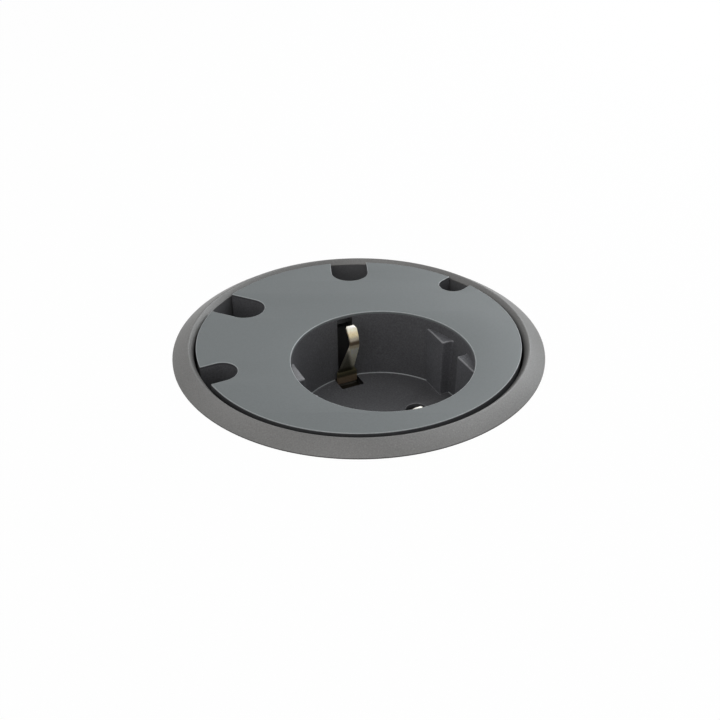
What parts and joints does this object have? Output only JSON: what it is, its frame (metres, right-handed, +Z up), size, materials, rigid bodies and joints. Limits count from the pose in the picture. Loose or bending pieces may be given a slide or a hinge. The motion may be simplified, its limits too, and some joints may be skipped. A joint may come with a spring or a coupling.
{
  "type": "in-desk power module",
  "caption": "Round in-desk power module: a bevelled flange and sleeve for a desk cut-out, with an off-centre earthed socket well and cable notches at the rim of its cover plate.",
  "frame": {"origin": "centre of the round desk cut-out, at the height of the desk's top face, where the underside of the flange rests", "axes": "+Z up out of the desk along the sleeve's axis; +Y away from the viewer of the picture, +X to that viewer's right"},
  "size_m": [0.0872, 0.0872, 0.0548],
  "materials": {
    "ring_metal": "satin metallic grey",
    "plate_plastic": "matte grey",
    "well_plastic": "fine-grained charcoal",
    "sleeve_plastic": "matte dark grey",
    "housing_plastic": "matte black",
    "carrier_plastic": "natural off-white",
    "earth_brass": "nickel-plated, satin",
    "contact_brass": "bright",
    "terminal_brass": "plated",
    "screw_steel": "zinc-plated",
    "grommet_rubber": "matte black"
  },
  "bodies": {
    "root": {"trim_ring": "ring_metal", "mounting_sleeve": "sleeve_plastic", "cover_plate": "plate_plastic", "insert_body": "well_plastic", "insert_screws": "screw_steel", "socket_well": "well_plastic", "earth_bow": "earth_brass", "earth_strap": "contact_brass", "earth_rivet": "contact_brass", "contact_carrier": "carrier_plastic", "live_contact": "contact_brass", "neutral_contact": "contact_brass", "live_terminal": "terminal_brass", "neutral_terminal": "terminal_brass", "earth_terminal": "terminal_brass", "terminal_screws": "screw_steel", "rear_housing": "housing_plastic", "housing_screws": "screw_steel", "bottom_cover": "housing_plastic", "cover_screws": "screw_steel", "inlet_grommet": "grommet_rubber"}
  },
  "joints": []
}
